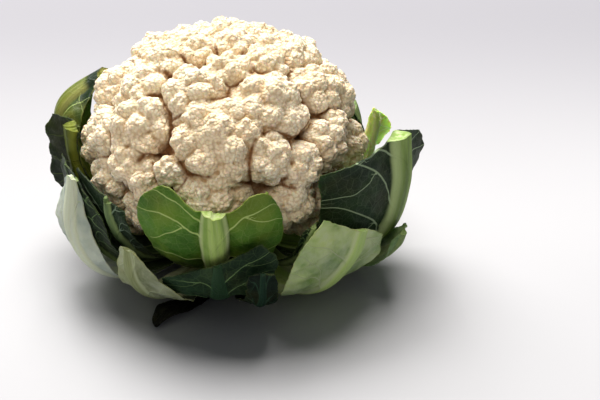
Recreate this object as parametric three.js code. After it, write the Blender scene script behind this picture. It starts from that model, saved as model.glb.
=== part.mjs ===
// A cauliflower with its trimmed leaves, standing on the cut face of its stalk.
// Millimetres, +Z up. The origin is the centre of the cut face, the front is -Y and the right is +X.
// A place round the axis is an azimuth in degrees, from the front towards the right.
import * as THREE from "three";

// Driving dimensions
const CURD_RADIUS = 75; // half the width of the head
const CURD_CENTRE_Z = 72; // height of its widest level
const CURD_RISE = 57; // from the widest level to the crown
const CURD_DROP = 63; // from the widest level to the imagined bottom of the same rounded form
const STALK_RADIUS = 24;
const STALK_TOP = 26.7;
const GAP = 0.3; // clearance between neighbouring pieces

// Shape of the head
const FLORET_SINK = 1; // how far a floret's ball stays under the rounded form
const CORE_SINK = 14; // how far the inside that the florets stand out of stays under it
const LOBE_SHARE = 0.36; // a lobe's radius as a share of its floret's
const LOBE_SPREAD = 0.15; // how much that radius varies
const LOBE_LIFT = 0.4; // how far a lobe stands out of its floret, as a share of its own radius
const LOBE_CAP = 70; // degrees from a floret's own top down to its lowest lobes
const LOBE_JITTER = 0.16; // radians, unevenness of the lobes' places
const LOBE_DENSITY = 2.1; // lobes on a cap, for each share of the floret's surface that one covers
const GOLDEN_ANGLE = Math.PI * (3 - Math.sqrt(5));
const UNDERSIDE_Z = STALK_TOP + GAP; // the head's flat seat over the stalk
const UNDERSIDE_SEAT = 26; // radius of that seat
const UNDERSIDE_RISE = 9; // how far the underside climbs from the seat to the lowest florets
const UNDERSIDE_REACH = 62; // radius where it meets them
const BRANCHES = 11; // branch ridges on the underside
const BRANCH_DEPTH = 1.6;
const HEAD_DETAIL = 20;
const HEAD_SEED = 41;

// Florets: azimuth, elevation seen from the middle of the widest level, radius
const FLORETS = [
  // front
  [0, 22, 25], [25, 15, 13], [34, 36, 22], [-47, 22, 20], [-64, 36, 17], [-19, 47, 19],
  [14, 65, 14], [39, 8, 13], [57, 11, 14], [67, 17, 9], [75, 31, 17], [70, 60, 14],
  [33, -8, 15], [-21, 11, 8], [-33, 4, 12], [-43, 8, 12], [-74, 41, 8], [-37, -13, 12],
  [-3, -2, 19], [-12, -22, 15], [14, -20, 15], [55, -14, 15], [-60, -8, 16], [-68, 12, 14],
  // crown
  [-85, 52, 16], [-104, 72, 15], [140, 79, 14], [126, 60, 14], [93, 48, 15], [180, 62, 14], [-125, 62, 14],
  // back
  [95, 20, 17], [92, -6, 16], [118, 36, 18], [120, 8, 19], [150, 24, 21], [148, -8, 16], [152, 52, 16],
  [180, 38, 17], [178, 8, 20], [-150, 52, 16], [-152, 24, 20], [-150, -6, 17], [-122, 38, 17],
  [-120, 8, 19], [-95, 22, 16], [-90, -4, 16],
];
const LOW_RING = { count: 10, elevation: -28, radius: 15 };

// Shape of a leaf
const LEAF_START = STALK_RADIUS + GAP + 0.1; // radius where a leaf leaves the stalk
const LEAF_THICKNESS = 1;
const BASE_TURN_LIMIT = 17; // degrees from a leaf's rib to its edge, at the stalk
const BASE_TURN_PER_WIDTH = 1.3; // the same, for each millimetre of a narrower rib
const LEAF_ROWS = 9;
const LEAF_SIDE_COLUMNS = 3; // columns of blade on each side of the rib
const RIB_PROFILE = [ // across half the rib: share of its half width, and of its depth
  [0.55, 0.84],
  [1, 0],
];
const RIB_SIDE_LIMIT = 0.8; // the rib takes at most this share of the blade's half width
const ROUND_FROM = 0.6; // share of the length from which the top corners are rounded
const SIDE_BEND = 1.7; // how late across the blade its radius changes
const SIDE_RISE = 1.25; // and its height, where a leaf's own rise doesn't say
const EDGE_CUTS = 19; // radians of ragged edge over a leaf's length
const EDGE_CUT_SHARE = 0.022; // depth of the cuts, as a share of the half width for each unit of wave
const EDGE_WAVES = 11; // radians of in-and-out wave over a leaf's length
const TIER_Z = { inner: 20.2, middle: 13.7, outer: 7.2, ground: 2.6 }; // height of the leaf bases
const LEAF_FLOOR = 0.5; // no point of a leaf's inner face is lower
const BACK_FLOOR = 0.2; // nor of its outer face

// Leaves. Each line of rib, left edge and right edge has four stations after the base, as
// [azimuth, radius, height]. turn is the base's azimuth, width and depth are the rib's at the base and at
// the top, round takes the top corners off, and wave is the height of the waves along the edges. rise, where
// it is given, says how the top edge climbs from the rib: early if it is under 1, late if it is over.
// colour is given where it isn't the usual one of the leaf's tier.
const LEAVES = [
  {
    name: "leaf_front", tier: "inner",
    turn: 0, width: [11, 15], depth: [4.5, 5.5], round: 0.4, wave: 1, rise: 0.55,
    rib: [[-1, 54, 25], [-1, 71, 41], [-1, 79, 57], [-1, 80, 68]],
    left: [[-19, 54, 25], [-26, 70, 38], [-30, 78, 61], [-33, 80, 89]],
    right: [[15, 54, 25], [21, 71, 40], [25, 79, 61], [29, 80, 84]],
  },
  {
    name: "leaf_front_left", tier: "inner", colour: "dark",
    turn: -46, width: [12, 4.5], depth: [4, 2], round: 0.2, wave: 1.5, rise: 0.9,
    rib: [[-46, 55, 24], [-45, 71, 41], [-44, 78, 56], [-44, 79, 66]],
    left: [[-66, 56, 23], [-70, 74, 40], [-70, 79, 58], [-66, 80, 75]],
    right: [[-33, 54, 24], [-34, 71, 40], [-34, 78, 53], [-35, 79, 63]],
  },
  {
    name: "leaf_left", tier: "inner", colour: "dark",
    turn: -90, width: [14, 13], depth: [4.5, 6], round: 0.1, wave: 2.5,
    rib: [[-88, 54, 24], [-84, 72, 44], [-83, 76, 64], [-85, 77, 83]],
    left: [[-99, 58, 23], [-95, 90, 36], [-97, 99, 57], [-98, 92, 80]],
    right: [[-77, 54, 24], [-76, 69, 42], [-78, 74, 62], [-79, 76, 80]],
  },
  {
    name: "leaf_upper_left", tier: "middle", colour: "bright",
    turn: -112, width: [15, 19], depth: [4.5, 4], round: 0.3, wave: 1,
    rib: [[-107, 62, 15], [-106, 88, 48], [-106, 91, 76], [-118, 73, 91]],
    left: [[-120, 58, 14], [-122, 88, 44], [-123, 90, 70], [-125, 75, 86]],
    right: [[-97, 60, 15], [-98, 83, 50], [-95, 82, 75], [-108, 73, 93]],
  },
  {
    name: "leaf_dark_left", tier: "middle",
    turn: -54, width: [13, 4], depth: [4.5, 1], round: 0.1, wave: 0.5,
    rib: [[-57, 58, 15], [-60, 76, 31], [-61, 82, 52], [-62, 82.5, 68]],
    left: [[-72, 58, 15], [-79, 78, 30], [-84, 86, 50], [-84, 86, 68]],
    right: [[-42, 56, 14], [-42, 73, 29], [-42, 81, 41], [-44, 82, 55]],
  },
  {
    name: "leaf_small_right", tier: "inner", colour: "dark",
    turn: 40, width: [8, 4], depth: [4, 2], round: 0.5, wave: 1,
    rib: [[33, 54, 24], [34, 70, 36], [34, 79, 50], [35, 81, 57]],
    left: [[30, 54, 24], [30, 69, 34], [30, 78, 46], [30.5, 80, 51]],
    right: [[39, 54, 24], [39, 70, 36], [39, 79, 50], [39, 81, 60]],
  },
  {
    name: "leaf_dark_front", tier: "middle",
    turn: 4, width: [15, 4], depth: [2.5, 1.5], round: 0.2, wave: 2, rise: 1,
    rib: [[0, 56, 14], [0, 76, 22], [0, 83, 34], [0, 85, 46]],
    left: [[-18, 56, 14], [-21, 74, 20], [-22, 81, 29], [-19, 83, 36]],
    right: [[17, 57, 14], [20, 77, 23], [20.5, 83, 42], [18, 85, 59]],
  },
  {
    name: "leaf_right", tier: "middle",
    turn: 72, width: [17, 19], depth: [4.5, 9], round: 0, wave: 1.5,
    rib: [[74, 60, 15], [75, 85, 30], [77, 92, 56], [77, 90, 85]],
    left: [[56, 58, 15], [45, 74, 38], [40, 78, 60], [40, 79, 83]],
    right: [[90, 62, 15], [94, 92, 30], [97, 106, 50], [96, 105, 70]],
  },
  {
    name: "leaf_frilled_right", tier: "inner",
    turn: 92, width: [10, 5], depth: [4, 2.5], round: 0.1, wave: 2.5,
    rib: [[98, 54, 24], [99, 74, 44], [101, 80, 62], [102, 84, 79]],
    left: [[92, 54, 24], [93, 72, 44], [97, 76, 62], [103, 78, 80]],
    right: [[110, 56, 24], [107, 80, 44], [104, 89, 60], [102, 93, 73]],
  },
  {
    name: "leaf_low_front_left", tier: "outer",
    turn: -22, width: [15, 6], depth: [4.5, 1.5], round: 0.5, wave: 1.5,
    rib: [[-30, 54, 7], [-31, 72, 15], [-32, 82, 29], [-33, 83, 46]],
    left: [[-41, 54, 7], [-41, 73, 14], [-40, 83, 28], [-38, 84, 46]],
    right: [[-13, 54, 7], [-12, 68, 12], [-13, 80, 21], [-24, 84, 40]],
  },
  {
    name: "leaf_low_front", tier: "outer", colour: "dark",
    turn: 9, width: [7, 3], depth: [1.5, 0.8], round: 0.3, wave: 0.5,
    rib: [[12, 55, 9], [14, 73, 15], [14.5, 85, 22], [14, 92, 44]],
    left: [[5, 55, 9], [8, 73, 16], [9, 84, 26], [8, 91, 43]],
    right: [[18, 55, 8], [19.5, 75, 14], [20, 86, 22], [19.5, 92, 42]],
  },
  {
    name: "leaf_low_left", tier: "outer",
    turn: -68, width: [16, 12], depth: [4.5, 1.5], round: 0.5, wave: 1,
    rib: [[-60, 56, 7], [-59, 78, 17], [-60, 89, 41], [-62, 85, 71]],
    left: [[-74, 56, 7], [-73, 82, 17], [-76, 91, 36], [-76, 88, 55]],
    right: [[-47, 54, 7], [-48, 73, 16], [-50, 83, 38], [-57, 84, 69]],
  },
  {
    name: "leaf_low_right", tier: "outer",
    turn: 37, width: [15, 10], depth: [4.5, 2], round: 0.05, wave: 1,
    rib: [[40, 56, 7], [42, 78, 17], [47, 90, 36], [50, 93, 51]],
    left: [[27, 55, 8], [23.5, 79, 20], [25, 89, 45], [34, 91, 68]],
    right: [[54, 56, 7], [58, 80, 14], [61, 92, 26], [62, 96, 38]],
  },
  {
    name: "leaf_low_far_right", tier: "outer", colour: "dark",
    turn: 84, width: [15, 6], depth: [4.5, 2], round: 0.2, wave: 2,
    rib: [[80, 58, 8], [74, 84, 13], [70, 96, 25], [68, 101, 36]],
    left: [[69, 58, 7], [65, 83, 12], [64, 96, 24], [65, 100, 36]],
    right: [[92, 57, 8], [88, 80, 13], [80, 92, 24], [73, 100, 35]],
  },
  {
    name: "leaf_scrap", tier: "ground",
    turn: 6, width: [5, 3], depth: [0.8, 0.6], round: 0.6, wave: 0.5,
    rib: [[-8, 40, 3.2], [-17, 58, 3], [-23, 71, 4], [-24, 83, 2.5]],
    left: [[-14, 39, 2.4], [-24, 56, 2.4], [-30, 68, 3], [-27, 82, 1.5]],
    right: [[-3, 41, 2.4], [-12, 60, 2.4], [-18, 72, 5], [-22, 84, 4]],
  },
  {
    name: "leaf_back_right", tier: "inner",
    turn: 136, width: [14, 12], depth: [4.5, 5], round: 0.3, wave: 2,
    rib: [[138, 55, 24], [139, 74, 44], [140, 80, 62], [141, 79, 76]],
    left: [[120, 56, 24], [118, 73, 42], [119, 79, 56], [126, 79, 68]],
    right: [[154, 55, 24], [158, 72, 42], [160, 78, 60], [157, 79, 74]],
  },
  {
    name: "leaf_back", tier: "inner",
    turn: 182, width: [14, 13], depth: [4.5, 5], round: 0.35, wave: 1.5,
    rib: [[184, 54, 24], [185, 73, 43], [185, 80, 60], [185, 80, 72]],
    left: [[166, 54, 24], [164, 72, 40], [164, 79, 58], [166, 80, 84]],
    right: [[200, 54, 24], [206, 72, 42], [207, 79, 60], [205, 79, 80]],
  },
  {
    name: "leaf_back_left", tier: "inner",
    turn: 226, width: [14, 10], depth: [4.5, 4], round: 0.3, wave: 2,
    rib: [[227, 55, 24], [228, 74, 44], [228, 81, 62], [228, 79, 80]],
    left: [[212, 55, 24], [212, 73, 42], [212, 79, 60], [214, 80, 74]],
    right: [[242, 55, 24], [246, 74, 44], [246, 81, 60], [244, 79, 74]],
  },
  {
    name: "leaf_far_back_right", tier: "middle",
    turn: 122, width: [16, 13], depth: [4.5, 6], round: 0.2, wave: 2,
    rib: [[124, 60, 15], [126, 84, 33], [128, 88, 48], [130, 87, 62]],
    left: [[108, 60, 15], [107, 83, 29], [110, 88, 40], [117, 88, 50]],
    right: [[142, 60, 15], [148, 83, 34], [148, 90, 52], [146, 88, 68]],
  },
  {
    name: "leaf_far_back_left", tier: "middle",
    turn: 200, width: [16, 15], depth: [4.5, 7], round: 0.2, wave: 2,
    rib: [[202, 60, 15], [203, 84, 34], [203, 91, 58], [203, 89, 78]],
    left: [[182, 60, 15], [178, 83, 34], [178, 90, 54], [182, 89, 70]],
    right: [[222, 60, 15], [227, 84, 32], [227, 91, 54], [223, 90, 72]],
  },
  {
    name: "leaf_low_back_right", tier: "outer",
    turn: 144, width: [16, 9], depth: [4.5, 4], round: 0.3, wave: 1.5,
    rib: [[146, 58, 7], [148, 84, 18], [150, 97, 38], [150, 99, 56]],
    left: [[128, 58, 7], [124, 85, 16], [127, 98, 32], [134, 101, 48]],
    right: [[162, 57, 7], [168, 82, 16], [169, 94, 34], [163, 98, 52]],
  },
  {
    name: "leaf_low_back_left", tier: "outer",
    turn: 222, width: [16, 8], depth: [4.5, 4], round: 0.4, wave: 1.5,
    rib: [[218, 58, 7], [216, 84, 15], [214, 98, 30], [213, 101, 44]],
    left: [[200, 57, 7], [195, 82, 15], [195, 95, 28], [203, 100, 42]],
    right: [[236, 58, 7], [238, 84, 13], [236, 98, 27], [224, 102, 40]],
  },
];

// A seeded row of numbers from 0 to 1
function randomRow(seed) {
  let state = seed >>> 0;
  return () => {
    state = (Math.imul(state, 1664525) + 1013904223) >>> 0;
    return state / 4294967296;
  };
}

function direction(azimuth, elevation) {
  const turn = THREE.MathUtils.degToRad(azimuth);
  const rise = THREE.MathUtils.degToRad(elevation);
  return new THREE.Vector3(
    Math.cos(rise) * Math.sin(turn),
    -Math.cos(rise) * Math.cos(turn),
    Math.sin(rise),
  );
}

// Distance from the middle of the head to its rounded form, along a direction
function formRadius(way) {
  const half = way.z >= 0 ? CURD_RISE : CURD_DROP;
  return 1 / Math.sqrt((way.x ** 2 + way.y ** 2) / CURD_RADIUS ** 2 + way.z ** 2 / half ** 2);
}

// Every ball of the head, seen from its middle: each floret and the lobes round its top
function headBalls() {
  const random = randomRow(HEAD_SEED);
  const ring = Array.from({ length: LOW_RING.count }, (_, i) => [
    (360 * (i + 0.5)) / LOW_RING.count,
    LOW_RING.elevation,
    LOW_RING.radius,
  ]);
  const balls = [];
  for (const [azimuth, elevation, radius] of [...FLORETS, ...ring]) {
    const out = direction(azimuth, elevation);
    const centre = out.clone().multiplyScalar(formRadius(out) - radius - FLORET_SINK);
    const side = direction(azimuth + 90, 0);
    const up = new THREE.Vector3().crossVectors(side, out);
    balls.push({ centre, radius });
    const cap = 1 - Math.cos(THREE.MathUtils.degToRad(LOBE_CAP));
    const count = Math.round((LOBE_DENSITY * cap) / LOBE_SHARE ** 2);
    for (let k = 0; k < count; k++) {
      const lobe = radius * LOBE_SHARE * (1 + LOBE_SPREAD * (2 * random() - 1));
      const lean = Math.acos(1 - (cap * (k + 0.5)) / count) + LOBE_JITTER * (random() - 0.5);
      const spin = k * GOLDEN_ANGLE + azimuth + LOBE_JITTER * (random() - 0.5);
      const way = out
        .clone()
        .multiplyScalar(Math.cos(lean))
        .addScaledVector(side, Math.sin(lean) * Math.cos(spin))
        .addScaledVector(up, Math.sin(lean) * Math.sin(spin));
      balls.push({
        centre: centre.clone().addScaledVector(way, radius - (1 - LOBE_LIFT) * lobe),
        radius: lobe,
      });
    }
  }
  return balls;
}

// Distance along a downward direction to the head's underside, a flat seat and then a shallow cone with
// branch ridges
function undersideRadius(way) {
  if (way.z >= 0) return Infinity;
  const level = Math.hypot(way.x, way.y);
  const azimuth = Math.atan2(way.x, -way.y);
  const ridge = BRANCH_DEPTH * Math.cos(BRANCHES * azimuth);
  const seat = (UNDERSIDE_Z - CURD_CENTRE_Z) / way.z;
  const climb = (UNDERSIDE_RISE + ridge) / (UNDERSIDE_REACH - UNDERSIDE_SEAT);
  const cone = (UNDERSIDE_Z - climb * UNDERSIDE_SEAT - CURD_CENTRE_Z) / (way.z - climb * level);
  return Math.min(seat, cone);
}

function headRadius(way, balls) {
  let reach = formRadius(way) - CORE_SINK;
  for (const { centre, radius } of balls) {
    const along = way.dot(centre);
    const inside = radius ** 2 - centre.lengthSq() + along ** 2;
    if (inside > 0) reach = Math.max(reach, along + Math.sqrt(inside));
  }
  return Math.min(reach, undersideRadius(way));
}

function makeHead() {
  const balls = headBalls();
  const shape = new THREE.IcosahedronGeometry(1, HEAD_DETAIL);
  const spots = shape.attributes.position;
  const way = new THREE.Vector3();
  for (let i = 0; i < spots.count; i++) {
    way.fromBufferAttribute(spots, i).normalize();
    way.multiplyScalar(headRadius(way, balls));
    spots.setXYZ(i, way.x, way.y, way.z + CURD_CENTRE_Z);
  }
  return shape;
}

function makeStalk() {
  const profile = [
    [0, 0],
    [STALK_RADIUS - 2, 0],
    [STALK_RADIUS - 0.6, 1],
    [STALK_RADIUS, 4],
    [STALK_RADIUS, STALK_TOP],
    [0, STALK_TOP],
  ].map(([x, y]) => new THREE.Vector2(x, y));
  return new THREE.LatheGeometry(profile, 40).rotateX(Math.PI / 2);
}

// A smooth line through evenly spaced stations, at a share of its length
function along(stations, share) {
  const last = stations.length - 1;
  const place = Math.min(Math.max(share, 0), 1) * last;
  const i = Math.min(Math.floor(place), last - 1);
  const t = place - i;
  const b = stations[i];
  const c = stations[i + 1];
  const a = i > 0 ? stations[i - 1] : b.map((value, k) => 2 * value - c[k]);
  const d = i + 2 <= last ? stations[i + 2] : c.map((value, k) => 2 * value - b[k]);
  return b.map((value, k) => {
    const slope = c[k] - a[k];
    const bend = 2 * a[k] - 5 * value + 4 * c[k] - d[k];
    const twist = 3 * (value - c[k]) + d[k] - a[k];
    return value + 0.5 * t * (slope + t * (bend + t * twist));
  });
}

function fromCylinder([azimuth, radius, height]) {
  const turn = THREE.MathUtils.degToRad(azimuth);
  return new THREE.Vector3(
    radius * Math.sin(turn),
    -radius * Math.cos(turn),
    Math.max(height, LEAF_FLOOR),
  );
}

// The inner face of a leaf: share of its length from the stalk, and side from -1 (left edge) to 1
function leafFace(leaf, share, side) {
  const baseTurn = Math.min(BASE_TURN_LIMIT, leaf.width[0] * BASE_TURN_PER_WIDTH);
  const base = (turn) => [leaf.turn + turn, LEAF_START, TIER_Z[leaf.tier]];
  const rib = along([base(0), ...leaf.rib], share);
  const edge =
    side < 0
      ? along([base(-baseTurn), ...leaf.left], share)
      : along([base(baseTurn), ...leaf.right], share);
  const late = Math.max(0, (share - ROUND_FROM) / (1 - ROUND_FROM));
  const cut = EDGE_CUT_SHARE * leaf.wave * share * Math.sin(EDGE_CUTS * share + leaf.turn + side);
  const far = Math.abs(side) * Math.sqrt(1 - leaf.round * late ** 2) * (1 + cut);
  const wave = leaf.wave * share * Math.sin(EDGE_WAVES * share + leaf.turn + side) * side ** 2;
  return fromCylinder([
    rib[0] + (edge[0] - rib[0]) * far,
    rib[1] + (edge[1] - rib[1]) * far ** SIDE_BEND + wave,
    rib[2] + (edge[2] - rib[2]) * far ** (leaf.rise ?? SIDE_RISE),
  ]);
}

// The way out of a leaf, away from the head
function leafNormal(leaf, share, side) {
  const step = 0.02;
  const lengthwise = leafFace(leaf, Math.min(share + step, 1), side).sub(
    leafFace(leaf, Math.max(share - step, 0), side),
  );
  const across = leafFace(leaf, share, Math.min(side + step, 1)).sub(
    leafFace(leaf, share, Math.max(side - step, -1)),
  );
  return across.cross(lengthwise).normalize();
}

// One half of a row across a leaf, from beside the rib's middle out to the edge: each column's side and
// the rib's swelling there
function halfRow(leaf, share, sign) {
  const halfRib = THREE.MathUtils.lerp(leaf.width[0], leaf.width[1], share) / 2;
  const halfBlade = leafFace(leaf, share, sign).distanceTo(leafFace(leaf, share, 0));
  const ribSide = Math.min(RIB_SIDE_LIMIT, halfRib / halfBlade);
  const columns = RIB_PROFILE.map(([part, swell]) => ({ side: sign * ribSide * part, swell }));
  for (let k = 1; k <= LEAF_SIDE_COLUMNS; k++) {
    const side = ribSide + ((1 - ribSide) * k) / LEAF_SIDE_COLUMNS;
    columns.push({ side: sign * side, swell: 0 });
  }
  return columns;
}

function makeLeaf(leaf) {
  const inner = [];
  const outer = [];
  for (let row = 0; row < LEAF_ROWS; row++) {
    const share = row / (LEAF_ROWS - 1);
    const depth = THREE.MathUtils.lerp(leaf.depth[0], leaf.depth[1], share);
    const middle = { side: 0, swell: 1 };
    for (const { side, swell } of [
      ...halfRow(leaf, share, -1).reverse(),
      middle,
      ...halfRow(leaf, share, 1),
    ]) {
      const face = leafFace(leaf, share, side);
      const thickness = LEAF_THICKNESS + depth * swell;
      const back = face.clone().addScaledVector(leafNormal(leaf, share, side), thickness);
      back.z = Math.max(back.z, BACK_FLOOR);
      inner.push(face);
      outer.push(back);
    }
  }
  return closedSheet(inner, outer, LEAF_ROWS, inner.length / LEAF_ROWS);
}

// One closed body from two grids of the same rows and columns, split into triangles alike on both
function closedSheet(inner, outer, rows, columns) {
  const faces = [];
  const back = inner.length;
  const quad = (a, b, c, d) => faces.push(a, b, c, a, c, d);
  for (let r = 0; r + 1 < rows; r++) {
    for (let c = 0; c + 1 < columns; c++) {
      const a = r * columns + c;
      const b = a + 1;
      const d = a + columns;
      quad(a, d, d + 1, b);
      faces.push(back + a, back + d + 1, back + d, back + a, back + b, back + d + 1);
    }
  }
  const edge = [];
  for (let c = 0; c < columns; c++) edge.push(c);
  for (let r = 1; r < rows; r++) edge.push(r * columns + columns - 1);
  for (let c = columns - 2; c >= 0; c--) edge.push((rows - 1) * columns + c);
  for (let r = rows - 2; r > 0; r--) edge.push(r * columns);
  edge.forEach((a, i) => {
    const b = edge[(i + 1) % edge.length];
    quad(a, b, back + b, back + a);
  });
  const shape = new THREE.BufferGeometry().setFromPoints([...inner, ...outer]);
  shape.setIndex(faces);
  shape.computeVertexNormals();
  return shape;
}

function addPiece(group, name, shape, color) {
  const material = new THREE.MeshStandardMaterial({ color, roughness: 0.7 });
  const mesh = new THREE.Mesh(shape, material);
  mesh.name = name;
  group.add(mesh);
}

const CURD_COLOUR = 0xeadfc4;
const STALK_COLOUR = 0xd9dfb4;
const LEAF_COLOURS = { bright: 0x7f9a3c, dark: 0x3f5c36, waxy: 0x8ba06c, withered: 0x2b3424 };
const TIER_COLOURS = { inner: "bright", middle: "dark", outer: "waxy", ground: "withered" };

const cauliflower = new THREE.Group();
addPiece(cauliflower, "curd", makeHead(), CURD_COLOUR);
addPiece(cauliflower, "stalk", makeStalk(), STALK_COLOUR);
for (const leaf of LEAVES) {
  const colour = LEAF_COLOURS[leaf.colour ?? TIER_COLOURS[leaf.tier]];
  addPiece(cauliflower, leaf.name, makeLeaf(leaf), colour);
}

export default cauliflower;
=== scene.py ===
"""The looks of the cauliflower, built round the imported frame.

Blender's units are metres, with +Z up, the front at -Y and the right at +X. Shapes are worked out in
millimetres from the same named values as the part's solids, and turned into metres when a mesh is made.
"""

import math

import bpy
import numpy as np
import openvdb
from mathutils import Matrix, Vector


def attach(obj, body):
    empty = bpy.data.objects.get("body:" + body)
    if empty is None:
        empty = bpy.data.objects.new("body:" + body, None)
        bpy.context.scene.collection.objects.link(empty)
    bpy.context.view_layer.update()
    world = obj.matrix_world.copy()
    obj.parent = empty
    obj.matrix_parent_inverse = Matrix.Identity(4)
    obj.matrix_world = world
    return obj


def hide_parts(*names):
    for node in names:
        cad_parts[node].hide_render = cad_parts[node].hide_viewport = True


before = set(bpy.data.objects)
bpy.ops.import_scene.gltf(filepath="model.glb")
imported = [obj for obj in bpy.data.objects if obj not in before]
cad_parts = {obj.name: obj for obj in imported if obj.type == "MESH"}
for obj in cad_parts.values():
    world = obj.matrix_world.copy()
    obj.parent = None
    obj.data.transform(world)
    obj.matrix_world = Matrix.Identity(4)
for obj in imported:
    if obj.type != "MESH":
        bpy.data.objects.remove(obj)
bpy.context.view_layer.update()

MM = 0.001
SHARP_ANGLE = 55  # degrees between faces, past which an edge is drawn sharp

# The photograph's camera
PHOTO_WIDTH = 600  # pixels
MM_PER_PIXEL = 0.532  # at the head
CAMERA_ELEVATION = 31  # degrees above level
CAMERA_DISTANCE = 750
HEAD_PIXEL_OFFSET = (-76, 65)  # the head's middle from the picture's middle, right and up, in pixels
SENSOR_WIDTH = 36

# The head, with the values of the part's source
CURD_RADIUS = 75
CURD_CENTRE_Z = 72
CURD_RISE = 57
CURD_DROP = 63
FLORET_SINK = 1
CORE_SINK = 14
LOBE_SHARE = 0.36
LOBE_SPREAD = 0.15
LOBE_LIFT = 0.4
LOBE_CAP = 70
LOBE_JITTER = 0.16
LOBE_DENSITY = 2.1
GOLDEN_ANGLE = math.pi * (3 - math.sqrt(5))
UNDERSIDE_Z = 27
UNDERSIDE_SEAT = 26
UNDERSIDE_RISE = 9
UNDERSIDE_REACH = 62
BRANCHES = 11
BRANCH_DEPTH = 1.6
HEAD_SEED = 41
LOW_RING = {"count": 10, "elevation": -28, "radius": 15}

# Florets: azimuth, elevation seen from the middle of the widest level, radius
FLORETS = [
    # front
    (0, 22, 25), (25, 15, 13), (34, 36, 22), (-47, 22, 20), (-64, 36, 17), (-19, 47, 19),
    (14, 65, 14), (39, 8, 13), (57, 11, 14), (67, 17, 9), (75, 31, 17), (70, 60, 14),
    (33, -8, 15), (-21, 11, 8), (-33, 4, 12), (-43, 8, 12), (-74, 41, 8), (-37, -13, 12),
    (-3, -2, 19), (-12, -22, 15), (14, -20, 15), (55, -14, 15), (-60, -8, 16), (-68, 12, 14),
    # crown
    (-85, 52, 16), (-104, 72, 15), (140, 79, 14), (126, 60, 14), (93, 48, 15), (180, 62, 14), (-125, 62, 14),
    # back
    (95, 20, 17), (92, -6, 16), (118, 36, 18), (120, 8, 19), (150, 24, 21), (148, -8, 16), (152, 52, 16),
    (180, 38, 17), (178, 8, 20), (-150, 52, 16), (-152, 24, 20), (-150, -6, 17), (-122, 38, 17),
    (-120, 8, 19), (-95, 22, 16), (-90, -4, 16),
]

# The finer relief that the solids leave out: knobs on the lobes, and beads on those
KNOBS = dict(share=0.34, spread=0.35, lift=0.3, cap=88, density=1.9)
BEAD_RADIUS = 1.1
BEADS = dict(spread=0.3, lift=0.5, cap=84, density=1.5)
KNOB_SEED = 7
BEAD_SEED = 8
VOXEL = 0.62
FIELD_LIMIT = 9  # distances are kept up to this far from the surface
BALL_BANDS = (FIELD_LIMIT, FIELD_LIMIT / 2, 3 * VOXEL, 2 * VOXEL)  # from florets down to beads
SOFTENING = 0.4  # width over which the head's surface is smoothed
FLORET_GROOVE = (0.6, 1.6)  # depth of the groove where two florets meet, and how far apart its sides are
LOBE_GROOVE = (0.5, 1.1)
SEAM_LEAN = 0.05  # how the seam between the two halves leans on Y deep inside, where no floret decides
SEAM_LAP = 0.15  # how far the halves run into each other at the seam
HALF_TRIANGLES = 196000
# The crease, fold and gap widths also set how far the painted shade in the hollows spreads.
CREASE_WIDTH = 0.9  # widths over which hollows are felt: between beads, lobes and florets
FOLD_WIDTH = 2.2
GAP_WIDTH = 5


def random_row(seed):
    """The part's own seeded row of numbers from 0 to 1."""
    state = seed
    while True:
        state = (state * 1664525 + 1013904223) % 2**32
        yield state / 2**32


def direction(azimuth, elevation):
    turn = math.radians(azimuth)
    rise = math.radians(elevation)
    return np.array([math.cos(rise) * math.sin(turn), -math.cos(rise) * math.cos(turn), math.sin(rise)])


def form_radius(x, y, z):
    """Distance from the middle of the head to its rounded form, along each direction."""
    size = np.sqrt(x**2 + y**2 + z**2) + 1e-9
    half = np.where(z >= 0, CURD_RISE, CURD_DROP)
    return size / np.sqrt((x**2 + y**2) / CURD_RADIUS**2 + (z / half) ** 2 + 1e-12)


def spiral(out, side, up, centre, radius, share, spread, lift, cap_angle, density, phase, draw):
    """Smaller balls spread evenly over the outer cap of a ball, as (centre, radius, outward)."""
    cap = 1 - math.cos(math.radians(cap_angle))
    count = round(density * cap / share**2)
    balls = []
    for k in range(count):
        small = radius * share * (1 + spread * (2 * next(draw) - 1))
        lean = math.acos(1 - cap * (k + 0.5) / count) + LOBE_JITTER * (next(draw) - 0.5)
        spin = k * GOLDEN_ANGLE + phase + LOBE_JITTER * (next(draw) - 0.5)
        way = out * math.cos(lean) + math.sin(lean) * (side * math.cos(spin) + up * math.sin(spin))
        balls.append((centre + way * (radius - (1 - lift) * small), small, way))
    return balls


def spread_over(balls, kind, share_of, seed):
    """Smaller balls of a kind over each of the given ones."""
    draw = random_row(seed)
    found = []
    for centre, radius, out in balls:
        side = np.cross(out, [0.3, 0.2, 0.93])
        side /= np.linalg.norm(side)
        found += spiral(
            out, side, np.cross(side, out), centre, radius, share_of(radius),
            kind["spread"], kind["lift"], kind["cap"], kind["density"], 7 * next(draw), draw,
        )
    return found


def head_balls(front):
    """The florets, lobes, knobs and beads of one half, from big to small, seen from the head's middle."""
    draw = random_row(HEAD_SEED)
    ring = [
        (360 * (i + 0.5) / LOW_RING["count"], LOW_RING["elevation"], LOW_RING["radius"])
        for i in range(LOW_RING["count"])
    ]
    florets = []
    lobes = []
    for azimuth, elevation, radius in [*FLORETS, *ring]:
        out = direction(azimuth, elevation)
        centre = out * (float(form_radius(*out)) - radius - FLORET_SINK)
        side = direction(azimuth + 90, 0)
        mine = spiral(
            out, side, np.cross(side, out), centre, radius,
            LOBE_SHARE, LOBE_SPREAD, LOBE_LIFT, LOBE_CAP, LOBE_DENSITY, azimuth, draw,
        )
        if (out[1] < 0) == front:
            florets.append((centre, radius, out))
            lobes += mine
    knobs = spread_over(lobes, KNOBS, lambda radius: KNOBS["share"], KNOB_SEED)
    beads = spread_over(knobs, BEADS, lambda radius: BEAD_RADIUS / radius, BEAD_SEED)
    return florets, lobes, knobs, beads


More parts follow.
